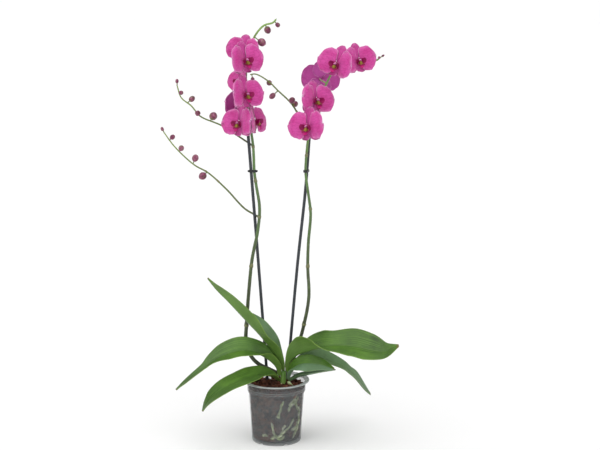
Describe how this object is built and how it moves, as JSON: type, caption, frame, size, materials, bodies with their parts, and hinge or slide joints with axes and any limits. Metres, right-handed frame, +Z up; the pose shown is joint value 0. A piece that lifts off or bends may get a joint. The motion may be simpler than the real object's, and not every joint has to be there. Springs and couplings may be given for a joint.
{
  "type": "potted orchid",
  "caption": "Moth orchid in a clear plastic pot of bark, with arching leaves, staked flower spikes and side branches with buds.",
  "frame": {"origin": "centre of the pot's foot, on the surface it stands on", "axes": "+Z up along the pot, +Y to the back, flowers face -Y, +X to the viewer's right"},
  "size_m": [0.4285, 0.1804, 0.763],
  "materials": {
    "pot": "clear, slightly frosted thin plastic",
    "bark": "rough chipped bark",
    "crown": "smooth, fibrous sheaths",
    "root": "velvety, pale grey-green",
    "leaf": "thick, waxy, satin",
    "spike": "smooth green stem with brown nodes",
    "branch": "smooth green stem",
    "stake": "dark grey coated rod",
    "clip": "moulded, near black",
    "flower": "soft, satin petals",
    "bud": "smooth, satin"
  },
  "bodies": {
    "root": {"pot": "pot", "bark_mix": "bark", "crown": "crown", "root_1": "root", "root_2": "root", "root_3": "root", "root_4": "root", "root_5": "root", "root_6": "root", "leaf_1": "leaf", "leaf_2": "leaf", "leaf_3": "leaf", "leaf_4": "leaf", "leaf_5": "leaf", "leaf_6": "leaf", "leaf_7": "leaf", "spike_left": "spike", "spike_right": "spike", "branch_left_lower": "branch", "branch_left_upper": "branch", "branch_right": "branch", "stake_left": "stake", "clip_left": "clip", "stake_right": "stake", "clip_right": "clip", "flower_left_1": "flower", "flower_left_2": "flower", "flower_left_3": "flower", "flower_left_4": "flower", "flower_left_5": "flower", "flower_left_6": "flower", "flower_left_7": "flower", "flower_right_1": "flower", "flower_right_2": "flower", "flower_right_3": "flower", "flower_right_4": "flower", "flower_right_5": "flower", "bud_lower_1": "bud", "bud_lower_2": "bud", "bud_lower_3": "bud", "bud_lower_4": "bud", "bud_lower_5": "bud", "bud_upper_1": "bud", "bud_upper_2": "bud", "bud_upper_3": "bud", "bud_upper_4": "bud", "bud_upper_5": "bud", "bud_right_1": "bud", "bud_right_2": "bud", "bud_right_3": "bud", "bud_right_4": "bud", "bud_right_5": "bud", "bud_top_1": "bud", "bud_top_2": "bud", "bud_top_3": "bud", "bud_end_1": "bud", "bud_end_2": "bud"}
  },
  "joints": []
}
